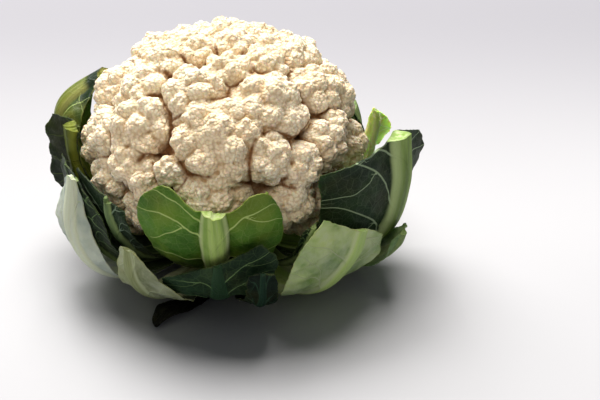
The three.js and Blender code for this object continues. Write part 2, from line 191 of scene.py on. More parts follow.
def stamp(field, origin, centre, radius, band, second=None):
    """Joins a ball to a field of distances, as far as band from its surface, and keeps the second nearest."""
    reach = radius + band
    low = np.maximum(np.floor((centre - reach - origin) / VOXEL).astype(int), 0)
    high = np.minimum(np.ceil((centre + reach - origin) / VOXEL).astype(int) + 1, field.shape)
    if np.any(high <= low):
        return
    x, y, z = (origin[k] + VOXEL * np.arange(low[k], high[k]) - centre[k] for k in range(3))
    distance = np.sqrt(x[:, None, None] ** 2 + y[None, :, None] ** 2 + z[None, None, :] ** 2) - radius
    block = tuple(slice(low[k], high[k]) for k in range(3))
    if second is not None:
        second[block] = np.minimum(second[block], np.maximum(field[block], distance))
    field[block] = np.minimum(field[block], distance)


def blurred(field, width):
    """The field averaged over a soft ball of that width in millimetres."""
    spectrum = np.fft.rfftn(field)
    for axis, size in enumerate(field.shape):
        waves = np.fft.rfftfreq(size) if axis == 2 else np.fft.fftfreq(size)
        shape = [1, 1, 1]
        shape[axis] = -1
        spectrum *= np.exp(-2 * (math.pi * width / VOXEL * waves) ** 2).reshape(shape)
    return np.fft.irfftn(spectrum, field.shape)


def sampled(field, origin, points):
    """The field's values at points, between its cells."""
    place = np.clip((points - origin) / VOXEL, 0, np.array(field.shape) - 1.001)
    cell = place.astype(int)
    part = place - cell
    total = np.zeros(len(points))
    for corner in np.ndindex(2, 2, 2):
        weight = np.prod(np.where(corner, part, 1 - part), axis=1)
        i, j, k = (cell + corner).T
        total += weight * field[i, j, k]
    return total


def ripples(points, length, seed, count=10):
    """Smooth seeded noise from -1 to 1, whose swells are about length apart."""
    draw = np.random.default_rng(seed)
    total = np.zeros(points.shape[:-1])
    for _ in range(count):
        way = draw.normal(size=points.shape[-1])
        way *= 2 * math.pi / (length * draw.uniform(0.7, 1.5) * np.linalg.norm(way))
        total += np.sin(points @ way + draw.uniform(0, 2 * math.pi))
    return total / math.sqrt(2 * count)


def head_fields():
    """Distances to the head's surface and seam, how deep the grooves are, and the grid's lowest corner."""
    margin = 6
    origin = np.array([-CURD_RADIUS - margin, -CURD_RADIUS - margin, UNDERSIDE_Z - CURD_CENTRE_Z - margin])
    top = np.array([CURD_RADIUS + margin, CURD_RADIUS + margin, CURD_RISE + margin])
    shape = np.ceil((top - origin) / VOXEL).astype(int) + 1
    lines = [origin[k] + VOXEL * np.arange(shape[k]) for k in range(3)]
    x, y, z = np.meshgrid(*lines, indexing="ij", sparse=True)
    size = np.sqrt(x**2 + y**2 + z**2)
    core = np.clip(size - form_radius(x, y, z) + CORE_SINK, -FIELD_LIMIT, FIELD_LIMIT)
    halves = []
    nearest = [[np.full(core.shape, float(FIELD_LIMIT)) for _ in range(2)] for _ in range(2)]
    for front in (True, False):
        florets, lobes, *smaller = head_balls(front)
        for balls, (first, second) in zip((florets, lobes), nearest):
            for centre, radius, _ in balls:
                stamp(first, origin, centre, radius, FIELD_LIMIT / 2, second)
        half = np.full(core.shape, float(FIELD_LIMIT))
        for balls, band in zip((florets, lobes, *smaller), BALL_BANDS):
            for centre, radius, _ in balls:
                stamp(half, origin, centre, radius, band)
        halves.append(half)
    grooves = [
        depth * np.exp(-(((second - first) / width) ** 2)) * (first < FIELD_LIMIT / 2)
        for (first, second), (depth, width) in zip(nearest, (FLORET_GROOVE, LOBE_GROOVE))
    ]
    level = np.sqrt(x**2 + y**2)
    ridge = BRANCH_DEPTH * np.cos(BRANCHES * np.arctan2(x, -y))
    climb = (UNDERSIDE_RISE + ridge) / (UNDERSIDE_REACH - UNDERSIDE_SEAT)
    under = UNDERSIDE_Z - CURD_CENTRE_Z + climb * np.maximum(level - UNDERSIDE_SEAT, 0)
    florets = np.minimum(*halves) + np.maximum(*grooves)
    head = np.maximum(np.minimum(core, florets), under - z)
    seam = (halves[0] - halves[1]) / 2 + SEAM_LEAN * y
    return head, seam, grooves[0] / FLORET_GROOVE[0], origin


def decimated(points, faces, triangles):
    """A mesh brought down to that many triangles, as points and faces."""
    mesh = bpy.data.meshes.new("full")
    mesh.from_pydata(points.tolist(), [], faces.tolist())
    thing = bpy.data.objects.new("full", mesh)
    bpy.context.scene.collection.objects.link(thing)
    reduce = thing.modifiers.new("reduce", "DECIMATE")
    reduce.ratio = min(1.0, triangles / (2 * len(faces)))
    reduce.use_collapse_triangulate = True
    whole = thing.evaluated_get(bpy.context.evaluated_depsgraph_get())
    small = bpy.data.meshes.new_from_object(whole)
    spots = np.empty(3 * len(small.vertices))
    small.vertices.foreach_get("co", spots)
    corners = np.empty(3 * len(small.polygons), int)
    small.loops.foreach_get("vertex_index", corners)
    bpy.data.objects.remove(thing)
    bpy.data.meshes.remove(mesh)
    bpy.data.meshes.remove(small)
    return spots.reshape(-1, 3), corners.reshape(-1, 3)


def smooth_step(low, high, value):
    t = np.clip((value - low) / (high - low), 0, 1)
    return t * t * (3 - 2 * t)


def add_piece(name, points, faces, values, node, material, sharp=None):
    """A smooth piece from points in millimetres, which stands for a CAD node and rides on the body."""
    mesh = bpy.data.meshes.new(name)
    mesh.from_pydata((points * MM).tolist(), [], faces if isinstance(faces, list) else faces.tolist())
    mesh.shade_smooth()
    for label, numbers in values.items():
        kind = "FLOAT" if numbers.ndim == 1 else "FLOAT_VECTOR"
        layer = mesh.attributes.new(label, kind, "POINT")
        field = "value" if kind == "FLOAT" else "vector"
        layer.data.foreach_set(field, numbers.astype(np.float32).ravel())
    if sharp:
        mesh.set_sharp_from_angle(angle=math.radians(sharp))
    mesh.materials.append(material)
    piece = bpy.data.objects.new(name, mesh)
    bpy.context.scene.collection.objects.link(piece)
    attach(piece, "root")
    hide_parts(node)


# Materials


def linear(code):
    """A colour like "e0d8b0" as the linear numbers that Blender takes."""
    parts = [int(code[i : i + 2], 16) / 255 for i in (0, 2, 4)]
    return (*(p / 12.92 if p <= 0.04045 else ((p + 0.055) / 1.055) ** 2.4 for p in parts), 1)


class Paint:
    """A material's nodes, with a short call for each kind that is used here."""

    def __init__(self, name):
        self.material = bpy.data.materials.new(name)
        self.material.use_nodes = True
        self.tree = self.material.node_tree
        self.shader = self.tree.nodes["Principled BSDF"]
        self.place = self.node("ShaderNodeTexCoord").outputs["Object"]

    def node(self, kind, inputs=None, **settings):
        made = self.tree.nodes.new(kind)
        for label, value in settings.items():
            setattr(made, label, value)
        for label, value in (inputs or {}).items():
            self.feed(made.inputs[label], value)
        return made

    def feed(self, socket, value):
        if isinstance(value, bpy.types.NodeSocket):
            self.tree.links.new(value, socket)
        else:
            socket.default_value = value

    def value(self, label):
        """A number kept at each point of the mesh."""
        return self.node("ShaderNodeAttribute", attribute_name=label).outputs["Fac"]

    def vector(self, label):
        return self.node("ShaderNodeAttribute", attribute_name=label).outputs["Vector"]

    def noise(self, millimetres, detail=3, rough=0.55, place=None, stretch=None):
        where = self.place if place is None else place
        if stretch:
            where = self.node("ShaderNodeMapping", {"Vector": where, "Scale": stretch}).outputs["Vector"]
        size = {"Vector": where, "Scale": 1 / (millimetres * MM), "Detail": detail, "Roughness": rough}
        return self.node("ShaderNodeTexNoise", size).outputs["Fac"]

    def cells(self, millimetres, feature="F1"):
        size = {"Vector": self.place, "Scale": 1 / (millimetres * MM)}
        return self.node("ShaderNodeTexVoronoi", size, feature=feature).outputs["Distance"]

    def span(self, value, low, high, to_low=0.0, to_high=1.0):
        """The value's range from low to high, moved to another and held inside it."""
        inputs = {0: value, 1: low, 2: high, 3: to_low, 4: to_high}
        return self.node("ShaderNodeMapRange", inputs, interpolation_type="SMOOTHSTEP").outputs[0]

    def math(self, operation, a, b=0.0):
        return self.node("ShaderNodeMath", {0: a, 1: b}, operation=operation).outputs[0]

    def part(self, value, share):
        return self.math("MULTIPLY", value, share)

    def mix(self, share, a, b):
        made = self.node("ShaderNodeMix", data_type="RGBA")
        for index, value in ((0, share), (6, a), (7, b)):
            self.feed(made.inputs[index], linear(value) if isinstance(value, str) else value)
        return made.outputs[2]

    def bump(self, height, millimetres, strength=1.0, below=None):
        inputs = {"Height": height, "Distance": millimetres * MM, "Strength": strength}
        if below is not None:
            inputs["Normal"] = below
        return self.node("ShaderNodeBump", inputs).outputs["Normal"]

    def finish(self, **inputs):
        for label, value in inputs.items():
            self.feed(self.shader.inputs[label.replace("_", " ")], value)
        return self.material


def curd_material():
    paint = Paint("curd")
    crease_shade, fold_shade, gap_shade, tip = (paint.value(label) for label in ("crease_shade", "fold_shade", "gap_shade", "tip"))
    cream = paint.mix(paint.span(paint.noise(26, 2), 0.35, 0.65), "f9eed4", "f7e6c6")
    cream = paint.mix(paint.part(paint.span(paint.noise(3.2, 4), 0.4, 0.75), 0.4), cream, "ecdcba")
    # Lighter cream on the tops of the knobs: a painted highlight.
    cream = paint.mix(paint.part(tip, 0.6), cream, "fcf6e6")
    grains = paint.cells(1.7)
    domes = paint.math("MULTIPLY", grains, grains)
    # Darker tan towards the edges of the bead cells: painted shade between the beads.
    cream = paint.mix(paint.part(paint.span(grains, 0.35, 0.75), 0.5), cream, "cfb288")
    # Tan in the creases and folds, and dark brown deep in the gaps between florets: painted shade in the
    # hollows.
    shaded_cream = paint.mix(paint.part(crease_shade, 0.65), cream, "d6b27c")
    shaded_cream = paint.mix(paint.part(fold_shade, 0.85), shaded_cream, "b1844e")
    deep = paint.mix(gap_shade, shaded_cream, "7d5430")
    specks = paint.span(paint.cells(19), 0.028, 0.036, 1.0, 0.0)
    colour = paint.mix(paint.part(specks, 0.75), deep, "6b4a22")
    relief = paint.bump(paint.noise(0.8, 3), 0.25, 0.5)
    relief = paint.bump(domes, -1.3, 0.8, relief)
    return paint.finish(
        Base_Color=colour,
        Roughness=paint.span(paint.noise(2.0), 0.3, 0.7, 0.6, 0.78),
        Normal=relief,
        Specular_IOR_Level=0.2,
        Subsurface_Weight=0.35,
        Subsurface_Radius=(1.0, 0.65, 0.35),
        Subsurface_Scale=0.001,
    )


def make_curd():
    """The head in two halves that meet in the gaps between florets, so that each can be finer."""
    head, seam, groove, origin = head_fields()
    # These blurred fields find the hollows, where painted shade is laid on the curd.
    crease_shade = blurred(np.clip(head, -2, 2), CREASE_WIDTH)
    fold_shade = blurred(np.clip(head, -5, 5), FOLD_WIDTH)
    gap_shade = blurred(head, GAP_WIDTH)
    soft = blurred(head, SOFTENING)
    material = curd_material()
    for name, wall in (("curd_front", seam), ("curd_back", -seam)):
        grid = openvdb.FloatGrid(background=FIELD_LIMIT)
        grid.copyFromArray(np.maximum(soft, wall - SEAM_LAP).astype(np.float32))
        spots, quads = grid.convertToQuads(isovalue=0.0)
        spots = np.asarray(spots) * VOXEL + origin
        points, faces = decimated(spots, np.asarray(quads)[:, ::-1], HALF_TRIANGLES)
        x, y, z = points.T
        depth = form_radius(x, y, z) - np.linalg.norm(points, axis=1)
        near = -sampled(crease_shade, origin, points)
        # How deep each point lies in a crease, fold or gap, which sets the painted shade there.
        values = {
            "crease_shade": smooth_step(0.05, 0.55, near),
            # How high a point stands on a knob, for the painted highlight on the tips.
            "tip": smooth_step(0.1, 0.6, -near),
            "fold_shade": smooth_step(0.1, 1.3, -sampled(fold_shade, origin, points)),
            "gap_shade": np.maximum(
                0.5 * smooth_step(0.8, 3.2, -sampled(gap_shade, origin, points)) + 0.5 * smooth_step(5, 13, depth),
                smooth_step(0.5, 1.0, sampled(groove, origin, points)) * smooth_step(2.5, 6, depth),
            ),
        }
        warp = [0.7 * ripples(points, 14, 11 + k) + 0.1 * ripples(points, 4.5, 21 + k) for k in range(3)]
        points = points + np.stack(warp, 1) * smooth_step(-42, -34, z)[:, None] + [0, 0, CURD_CENTRE_Z]
        add_piece(name, points, faces, values, "curd", material)


# Shape of a leaf, with the values of the part's source
STALK_RADIUS = 24
STALK_TOP = 26.7
GAP = 0.3
LEAF_START = STALK_RADIUS + GAP + 0.1
LEAF_THICKNESS = 1
BASE_TURN_LIMIT = 17
BASE_TURN_PER_WIDTH = 1.3
RIB_SIDE_LIMIT = 0.8
ROUND_FROM = 0.6
SIDE_BEND = 1.7
SIDE_RISE = 1.25
RIB_LEVEL = 0.2  # share of the rise of the top edge that a rib's flat top has, where the edge rises steeply
EDGE_CUTS = 19
EDGE_CUT_SHARE = 0.022
EDGE_WAVES = 11
TIER_Z = {"inner": 20.2, "middle": 13.7, "outer": 7.2, "ground": 2.6}
LEAF_FLOOR = 0.5
BACK_FLOOR = 0.2

# The finer relief of a leaf
FINE_GRID = (96, 73)  # rows and columns of a leaf that the photograph shows
PLAIN_GRID = (64, 49)
CAP_ROWS = 3  # rows of points across the cut end
EDGE_THICKNESS = 0.45
VEIN_HEIGHT = 0.6
VEIN_HALF_WIDTH = 0.5  # at the rib
VEIN_TIP_SHARE = 0.35  # of that width and height, at the edge
VEIN_FIRST = 0.12  # shares of the length between which veins leave the rib
VEIN_LAST = 0.9
VEIN_REACH = 0.28  # share of the way to the edge over which a vein climbs steeply
VEIN_FORK_AT = 0.4  # share of the way to the edge where a vein forks
RIDGE_HALF_WIDTH = 1.1  # of the relief under a vein
PUCKER = 0.4  # depth of the blisters between veins
RAGGED = 0.5  # depth of the fine notches along the edge
FIRST_LEAF_SEED = 100

# Each line of rib, left edge and right edge has four stations after the base, as (azimuth, radius, height).
# turn is the base's azimuth, width and depth are the rib's at the base and at the top, round takes the top
# corners off, and wave is the height of the waves along the edges. rise, where it is given, says how the top
# edge climbs from the rib, and colour is given where it isn't the usual one of the leaf's tier. A few edges
# were set closer to the photograph than the solids have them, by some millimetres.
LEAVES = {
    "leaf_front": dict(
        tier="inner", turn=0, width=(11, 15), depth=(4.5, 5.5), round=0.4, wave=1, rise=0.55,
        rib=[(-1, 54, 25), (-1, 71, 41), (-1, 79, 57), (-1, 80, 68)],
        left=[(-19, 54, 25), (-26, 70, 38), (-31, 78, 62), (-35, 80, 97)],
        right=[(15, 54, 25), (21, 71, 40), (25, 79, 61), (30, 80, 91)],
    ),
    "leaf_front_left": dict(
        tier="inner", colour="dark", turn=-46, width=(12, 4.5), depth=(4, 2), round=0.2, wave=1.5, rise=0.9,
        rib=[(-46, 55, 24), (-45, 71, 41), (-44, 78, 56), (-44, 79, 66)],
        left=[(-66, 56, 23), (-70, 74, 40), (-70, 79, 58), (-66, 80, 75)],
        right=[(-33, 54, 24), (-34, 71, 40), (-34, 78, 53), (-35, 79, 63)],
    ),
    "leaf_left": dict(
        tier="inner", colour="dark", turn=-90, width=(14, 13), depth=(4.5, 6), round=0.1, wave=2.5,
        rib=[(-88, 54, 24), (-84, 72, 44), (-83, 76, 64), (-85, 77, 83)],
        left=[(-99, 58, 23), (-95, 90, 36), (-97, 99, 57), (-98, 92, 80)],
        right=[(-77, 54, 24), (-76, 69, 42), (-78, 74, 62), (-79, 76, 80)],
    ),
    "leaf_upper_left": dict(
        tier="middle", colour="bright", turn=-112, width=(15, 19), depth=(4.5, 4), round=0.3, wave=1,
        rib=[(-107, 62, 15), (-106, 88, 48), (-106, 91, 76), (-118, 73, 91)],
        left=[(-120, 58, 14), (-122, 88, 44), (-123, 90, 70), (-125, 75, 86)],
        right=[(-97, 60, 15), (-97, 79, 50), (-93, 77, 74), (-106, 70, 93)],
    ),
    "leaf_dark_left": dict(
        tier="middle", turn=-54, width=(13, 4), depth=(4.5, 1), round=0.1, wave=0.5,
        rib=[(-57, 58, 15), (-60, 76, 31), (-61, 82, 52), (-62, 82.5, 68)],
        left=[(-92, 57, 14), (-79, 78, 30), (-84, 86, 50), (-84, 86, 68)],
        right=[(-42, 56, 14), (-42, 73, 29), (-42, 81, 41), (-44, 82, 55)],
    ),
    "leaf_small_right": dict(
        tier="inner", colour="dark", turn=40, width=(8, 4), depth=(4, 2), round=0.5, wave=1,
        rib=[(33, 54, 24), (34, 70, 36), (34, 79, 50), (35, 81, 57)],
        left=[(30, 54, 24), (30, 69, 34), (30, 78, 46), (30.5, 80, 51)],
        right=[(39, 54, 24), (39, 70, 36), (39, 79, 50), (39, 81, 60)],
    ),
    "leaf_dark_front": dict(
        tier="middle", turn=4, width=(15, 4), depth=(2.5, 1.5), round=0.2, wave=2, rise=1,
        rib=[(0, 56, 14), (0, 76, 22), (0, 83, 34), (0, 85, 46)],
        left=[(-18, 56, 14), (-21, 74, 20), (-22, 81, 29), (-19, 83, 36)],
        right=[(17, 57, 14), (20, 77, 23), (20.5, 83, 42), (18, 85, 59)],
    ),
    "leaf_right": dict(
        tier="middle", turn=72, width=(17, 19), depth=(4.5, 9), round=0, wave=1.5,
        rib=[(74, 60, 15), (75, 85, 30), (77, 92, 56), (77, 90, 85)],
        left=[(56, 58, 15), (45, 74, 38), (40, 78, 60), (40, 79, 83)],
        right=[(90, 62, 15), (94, 92, 30), (97, 106, 50), (96, 105, 70)],
    ),
    "leaf_frilled_right": dict(
        tier="inner", turn=92, width=(10, 5), depth=(4, 2.5), round=0.1, wave=2.5,
        rib=[(98, 54, 24), (99, 74, 44), (101, 80, 62), (102, 84, 79)],
        left=[(92, 54, 24), (93, 72, 44), (97, 76, 62), (103, 78, 80)],
        right=[(110, 56, 24), (107, 80, 44), (104, 89, 60), (102, 93, 73)],
    ),
    "leaf_low_front_left": dict(
        tier="outer", turn=-22, width=(15, 6), depth=(4.5, 1.5), round=0.5, wave=1.5,
        rib=[(-30, 54, 7), (-31, 72, 15), (-32, 82, 29), (-33, 83, 46)],
        left=[(-41, 54, 7), (-41, 73, 14), (-40, 83, 28), (-38, 84, 46)],
        right=[(-13, 54, 7), (-12, 68, 12), (-13, 80, 21), (-24, 84, 40)],
    ),
    "leaf_low_front": dict(
        tier="outer", colour="dark", turn=9, width=(7, 3), depth=(1.5, 0.8), round=0.3, wave=0.5,
        rib=[(12, 55, 9), (14, 73, 15), (14.5, 85, 22), (14, 92, 44)],
        left=[(5, 55, 9), (8, 73, 16), (9, 84, 26), (8, 91, 43)],
        right=[(18, 55, 8), (19.5, 75, 14), (20, 86, 22), (19.5, 92, 42)],
    ),
    "leaf_low_left": dict(
        tier="outer", turn=-68, width=(16, 12), depth=(4.5, 1.5), round=0.5, wave=1,
        rib=[(-60, 56, 7), (-59, 78, 17), (-60, 89, 41), (-62, 85, 71)],
        left=[(-90, 57, 8), (-73, 82, 17), (-76, 91, 36), (-76, 88, 55)],
        right=[(-47, 54, 7), (-48, 73, 16), (-50, 83, 38), (-57, 84, 69)],
    ),
    "leaf_low_right": dict(
        tier="outer", turn=37, width=(15, 10), depth=(4.5, 2), round=0.05, wave=1,
        rib=[(40, 56, 7), (42, 78, 17), (47, 90, 36), (50, 93, 51)],
        left=[(27, 55, 8), (23.5, 79, 20), (25, 89, 45), (34, 91, 68)],
        right=[(54, 56, 7), (58, 80, 14), (61, 92, 26), (62, 96, 38)],
    ),
    "leaf_low_far_right": dict(
        tier="outer", colour="dark", turn=84, width=(15, 6), depth=(4.5, 2), round=0.2, wave=2,
        rib=[(80, 58, 8), (74, 84, 13), (70, 96, 25), (68, 101, 36)],
        left=[(69, 58, 7), (65, 83, 12), (64, 96, 24), (65, 100, 36)],
        right=[(92, 57, 8), (88, 80, 13), (80, 92, 24), (73, 100, 35)],
    ),
    "leaf_scrap": dict(
        tier="ground", turn=6, width=(5, 3), depth=(0.8, 0.6), round=0.6, wave=0.5,
        rib=[(-8, 40, 3.2), (-17, 58, 3), (-23, 71, 4), (-24, 83, 2.5)],
        left=[(-14, 39, 2.4), (-24, 56, 2.4), (-30, 68, 3), (-27, 82, 1.5)],
        right=[(-3, 41, 2.4), (-12, 60, 2.4), (-18, 72, 5), (-22, 84, 4)],
    ),
    "leaf_back_right": dict(
        tier="inner", turn=136, width=(14, 12), depth=(4.5, 5), round=0.3, wave=2,
        rib=[(138, 55, 24), (139, 74, 44), (140, 80, 62), (141, 79, 76)],
        left=[(120, 56, 24), (118, 73, 42), (119, 79, 56), (126, 79, 68)],
        right=[(154, 55, 24), (158, 72, 42), (160, 78, 60), (157, 79, 74)],
    ),
    "leaf_back": dict(
        tier="inner", turn=182, width=(14, 13), depth=(4.5, 5), round=0.35, wave=1.5,
        rib=[(184, 54, 24), (185, 73, 43), (185, 80, 60), (185, 80, 72)],
        left=[(166, 54, 24), (164, 72, 40), (164, 79, 58), (166, 80, 84)],
        right=[(200, 54, 24), (206, 72, 42), (207, 79, 60), (205, 79, 80)],
    ),
    "leaf_back_left": dict(
        tier="inner", turn=226, width=(14, 10), depth=(4.5, 4), round=0.3, wave=2,
        rib=[(227, 55, 24), (228, 74, 44), (228, 81, 62), (228, 79, 80)],
        left=[(212, 55, 24), (212, 73, 42), (212, 79, 60), (214, 80, 74)],
        right=[(242, 55, 24), (246, 74, 44), (246, 81, 60), (244, 79, 74)],
    ),
    "leaf_far_back_right": dict(
        tier="middle", turn=122, width=(16, 13), depth=(4.5, 6), round=0.2, wave=2,
        rib=[(124, 60, 15), (126, 84, 33), (128, 88, 48), (130, 87, 62)],
        left=[(108, 60, 15), (107, 83, 29), (110, 88, 40), (117, 88, 50)],
        right=[(142, 60, 15), (148, 83, 34), (148, 90, 52), (146, 88, 68)],
    ),
    "leaf_far_back_left": dict(
        tier="middle", turn=200, width=(16, 15), depth=(4.5, 7), round=0.2, wave=2,
        rib=[(202, 60, 15), (203, 84, 34), (203, 91, 58), (203, 89, 78)],
        left=[(182, 60, 15), (178, 83, 34), (178, 90, 54), (182, 89, 70)],
        right=[(222, 60, 15), (227, 84, 32), (227, 91, 54), (223, 90, 72)],
    ),
    "leaf_low_back_right": dict(
        tier="outer", turn=144, width=(16, 9), depth=(4.5, 4), round=0.3, wave=1.5,
        rib=[(146, 58, 7), (148, 84, 18), (150, 97, 38), (150, 99, 56)],
        left=[(128, 58, 7), (124, 85, 16), (127, 98, 32), (134, 101, 48)],
        right=[(162, 57, 7), (168, 82, 16), (169, 94, 34), (163, 98, 52)],
    ),
    "leaf_low_back_left": dict(
        tier="outer", turn=222, width=(16, 8), depth=(4.5, 4), round=0.4, wave=1.5,
        rib=[(218, 58, 7), (216, 84, 15), (214, 98, 30), (213, 101, 44)],
        left=[(200, 57, 7), (195, 82, 15), (195, 95, 28), (203, 100, 42)],
        right=[(236, 58, 7), (238, 84, 13), (236, 98, 27), (224, 102, 40)],
    ),
}

# Each leaf's look: colours from its dark to its light parts, and how strongly it has each feature
BRIGHT_LOOK = dict(
    dark="2d5a04", light="48760e", vein="b5ca7a", rib_low="acc46c", rib_high="a1bd62", rim="bbc992",
    bloom=0.1, bloom_colour="7b9165", yellow=0.3, veins=4, climb=0.26, frill=0.4, bulge=0.0,
    edge="93944d", shine=0.2, gloss=0.5, net=0.1, foot=0.5, foot_colour="96ab63", corner=1.0, vein_width=1.0,
    through=0.1,
)
DARK_LOOK = BRIGHT_LOOK | dict(
    dark="091b0b", light="172d16", vein="688354", rib_low="7e9259", rib_high="6a8344", rim="8b9e67",
    yellow=0.03, bloom=0.02, foot=0.25, foot_colour="5f7444", edge="4d582d", net=0.12, shine=0.12,
)
WAXY_LOOK = BRIGHT_LOOK | dict(
    dark="6c7f54", light="97a47c", vein="b0bc94", rib_low="c0c9a4", rib_high="98a878", rim="bcc6a2",
    bloom=0.6, bloom_colour="b3bba6", yellow=0.1, veins=3, gloss=0.55, net=0.08, foot_colour="c0c9a4",
)
WITHERED_LOOK = DARK_LOOK | dict(
    dark="040503", light="0a0d07", vein="10110a", rib_low="0b0b06", rib_high="070805", rim="10110a",
    bloom=0, edge="0a0a05", foot=0,
)
YELLOWED = "a8a43e"
LOOKS = {"bright": BRIGHT_LOOK, "dark": DARK_LOOK, "waxy": WAXY_LOOK, "withered": WITHERED_LOOK}
TIER_COLOURS = {"inner": "bright", "middle": "dark", "outer": "waxy", "ground": "withered"}

# What sets apart each of the leaves that the photograph shows. A line of lines is a listed side vein:
# its side of the rib, the share of the length where it starts, how far it climbs and how soon, where it forks
# and how the fork parts.
LEAF_LOOKS = {
    "leaf_front": dict(
        bulge=2.0, rim="c4d09c", corner=8.0, vein_width=1.5, yellow=0.2,
        foot=0.9, foot_colour="a8a84c",
        lines=[
            (-1, 0.66, 0.18, 0.15, 0.35, -0.2), (-1, 0.88, 0.08, 0.3, 2, 0), (-1, 0.46, 0.12, 0.3, 2, 0),
            (1, 0.72, 0.18, 0.2, 0.45, -0.12), (1, 0.5, 0.12, 0.3, 2, 0),
            (-1, 0.3, 0.12, 0.3, 2, 0), (1, 0.28, 0.12, 0.3, 2, 0),
        ],
    ),
    "leaf_front_left": dict(
        vein="7f957c", light="112610", veins=3, rib_low="3e592f", rib_high="677e53",
    ),
    "leaf_left": dict(
        dark="050f07", light="0f200a", rib_low="5c691e", rib_high="5f6d1c", rim="7d8430", frill=1.4,
        vein="45571f",
    ),
    "leaf_upper_left": dict(
        rib_low="6d7221", rib_high="68701e", rim="a3a660", dark="17340a", light="2d4d10", tip="10260d",
        gloss=0.34,
    ),
    "leaf_dark_left": dict(dark="08150a", light="102212"),
    "leaf_small_right": dict(dark="06140b", light="102315"),
    "leaf_dark_front": dict(
        dark="0a1e10", light="1c3521", veins=3, rim="2c4a30", rib_low="1c3521", rib_high="233c25",
    ),
    "leaf_right": dict(
        rib_low="738d3e", rib_high="839f4d", rim="b4c690", light="132e16", net=0.07,
        vein="9cb08c", vein_width=1.5,
        lines=[
            (-1, 0.42, 0.7, 0.35, 0.4, -0.3), (-1, 0.28, 0.55, 0.4, 0.35, -0.25),
            (-1, 0.14, 0.45, 0.5, 0.5, -0.2), (-1, 0.74, 0.28, 0.15, 2, 0), (1, 0.4, 0.3, 0.4, 2, 0),
            (1, 0.65, 0.25, 0.4, 0.5, 0.15), (1, 0.2, 0.2, 0.4, 2, 0),
        ],
    ),
    "leaf_frilled_right": dict(
        dark="c3d36a", light="e6eba0", vein="e6ebc8", edge="f0f0d0", frill=1.8, bloom=0, through=1.0,
    ),
    "leaf_low_front_left": dict(
        dark="646d47", light="889061", yellow=0.3, rib_low="7d8759", rib_high="7d8759",
    ),
    # This leaf's near-black colours are painted shade for the dark spot where it lies, low at the front.
    "leaf_low_front": dict(
        rib_low="0f2419", rib_high="183224", rim="2c4634", vein="2c4634", foot=0,
        dark="030b06", light="0a1b12",
    ),
    "leaf_low_left": dict(
        dark="93a29a", light="c7d2c8", rib_low="e9efd0", rib_high="c0c8aa", rim="d2d9bf",
        veins=2, foot=0.9, foot_colour="e6ead0", net=0.04,
    ),
    "leaf_low_right": dict(dark="698b43", light="b3cb75", rib_low="b5d17a", rib_high="a2c06c", net=0.05),
    "leaf_low_far_right": dict(dark="4f7044", light="86a06c", frill=1.6),
    "leaf_scrap": {},
}


def along(stations, share):
    """A smooth line through evenly spaced stations, at shares of its length."""
    stations = np.array(stations, float)
    last = len(stations) - 1
    line = np.vstack([2 * stations[0] - stations[1], stations, 2 * stations[-1] - stations[-2]])
    place = np.clip(share, 0, 1) * last
    i = np.minimum(place.astype(int), last - 1)
    t = (place - i)[..., None]
    a, b, c, d = line[i], line[i + 1], line[i + 2], line[i + 3]
    return b + 0.5 * t * (c - a + t * (2 * a - 5 * b + 4 * c - d + t * (3 * (b - c) + d - a)))


def leaf_face(leaf, share, side, reach=1.0):
    """The inner face of a leaf at shares of its length from the stalk and sides from -1 to 1."""
    base_turn = min(BASE_TURN_LIMIT, leaf["width"][0] * BASE_TURN_PER_WIDTH)
    base = [(leaf["turn"] + turn, LEAF_START, TIER_Z[leaf["tier"]]) for turn in (-base_turn, 0, base_turn)]
    rib = along([base[1], *leaf["rib"]], share)
    left = along([base[0], *leaf["left"]], share)
    right = along([base[2], *leaf["right"]], share)
    edge = np.where((side < 0)[..., None], left, right)
    late = np.maximum(0, (share - ROUND_FROM) / (1 - ROUND_FROM))
    cut = EDGE_CUT_SHARE * leaf["wave"] * share * np.sin(EDGE_CUTS * share + leaf["turn"] + side)
    far = np.abs(side) * np.sqrt(1 - leaf["round"] * late**2) * (1 + cut) * reach
    wave = leaf["wave"] * share * np.sin(EDGE_WAVES * share + leaf["turn"] + side) * side**2
    bend = leaf.get("rise", SIDE_RISE)
    climb = far**bend
    if bend < 1:
        climb = RIB_LEVEL + (climb - RIB_LEVEL) * smooth_step(0.1, 0.4, far)
    turn = np.radians(rib[..., 0] + (edge[..., 0] - rib[..., 0]) * far)
    radius = rib[..., 1] + (edge[..., 1] - rib[..., 1]) * far**SIDE_BEND + wave
    height = rib[..., 2] + (edge[..., 2] - rib[..., 2]) * climb
    return np.stack([radius * np.sin(turn), -radius * np.cos(turn), np.maximum(height, LEAF_FLOOR)], -1)


def lengths(steps):
    return np.linalg.norm(steps, axis=-1)


def unit(vectors):
    return vectors / (lengths(vectors)[..., None] + 1e-9)


def vein_lines(look, seed):
    """The side veins that the look names, or as many as it asks for by a seeded draw."""
    if "lines" in look:
        return look["lines"]
    draw = np.random.default_rng(seed)
    lines = []
    for sign in (-1, 1):
        for k in range(look["veins"]):
            start = VEIN_FIRST + (VEIN_LAST - VEIN_FIRST) * (k + 0.3 * (sign > 0)) / look["veins"]
            start += 0.03 * draw.uniform(-1, 1)
            climb = look["climb"] * draw.uniform(0.8, 1.2)
            fork = draw.choice([-1, 1]) * draw.uniform(0.12, 0.22)
            lines.append((sign, start, climb, VEIN_REACH, VEIN_FORK_AT * draw.uniform(0.7, 1.4), fork))
    return lines


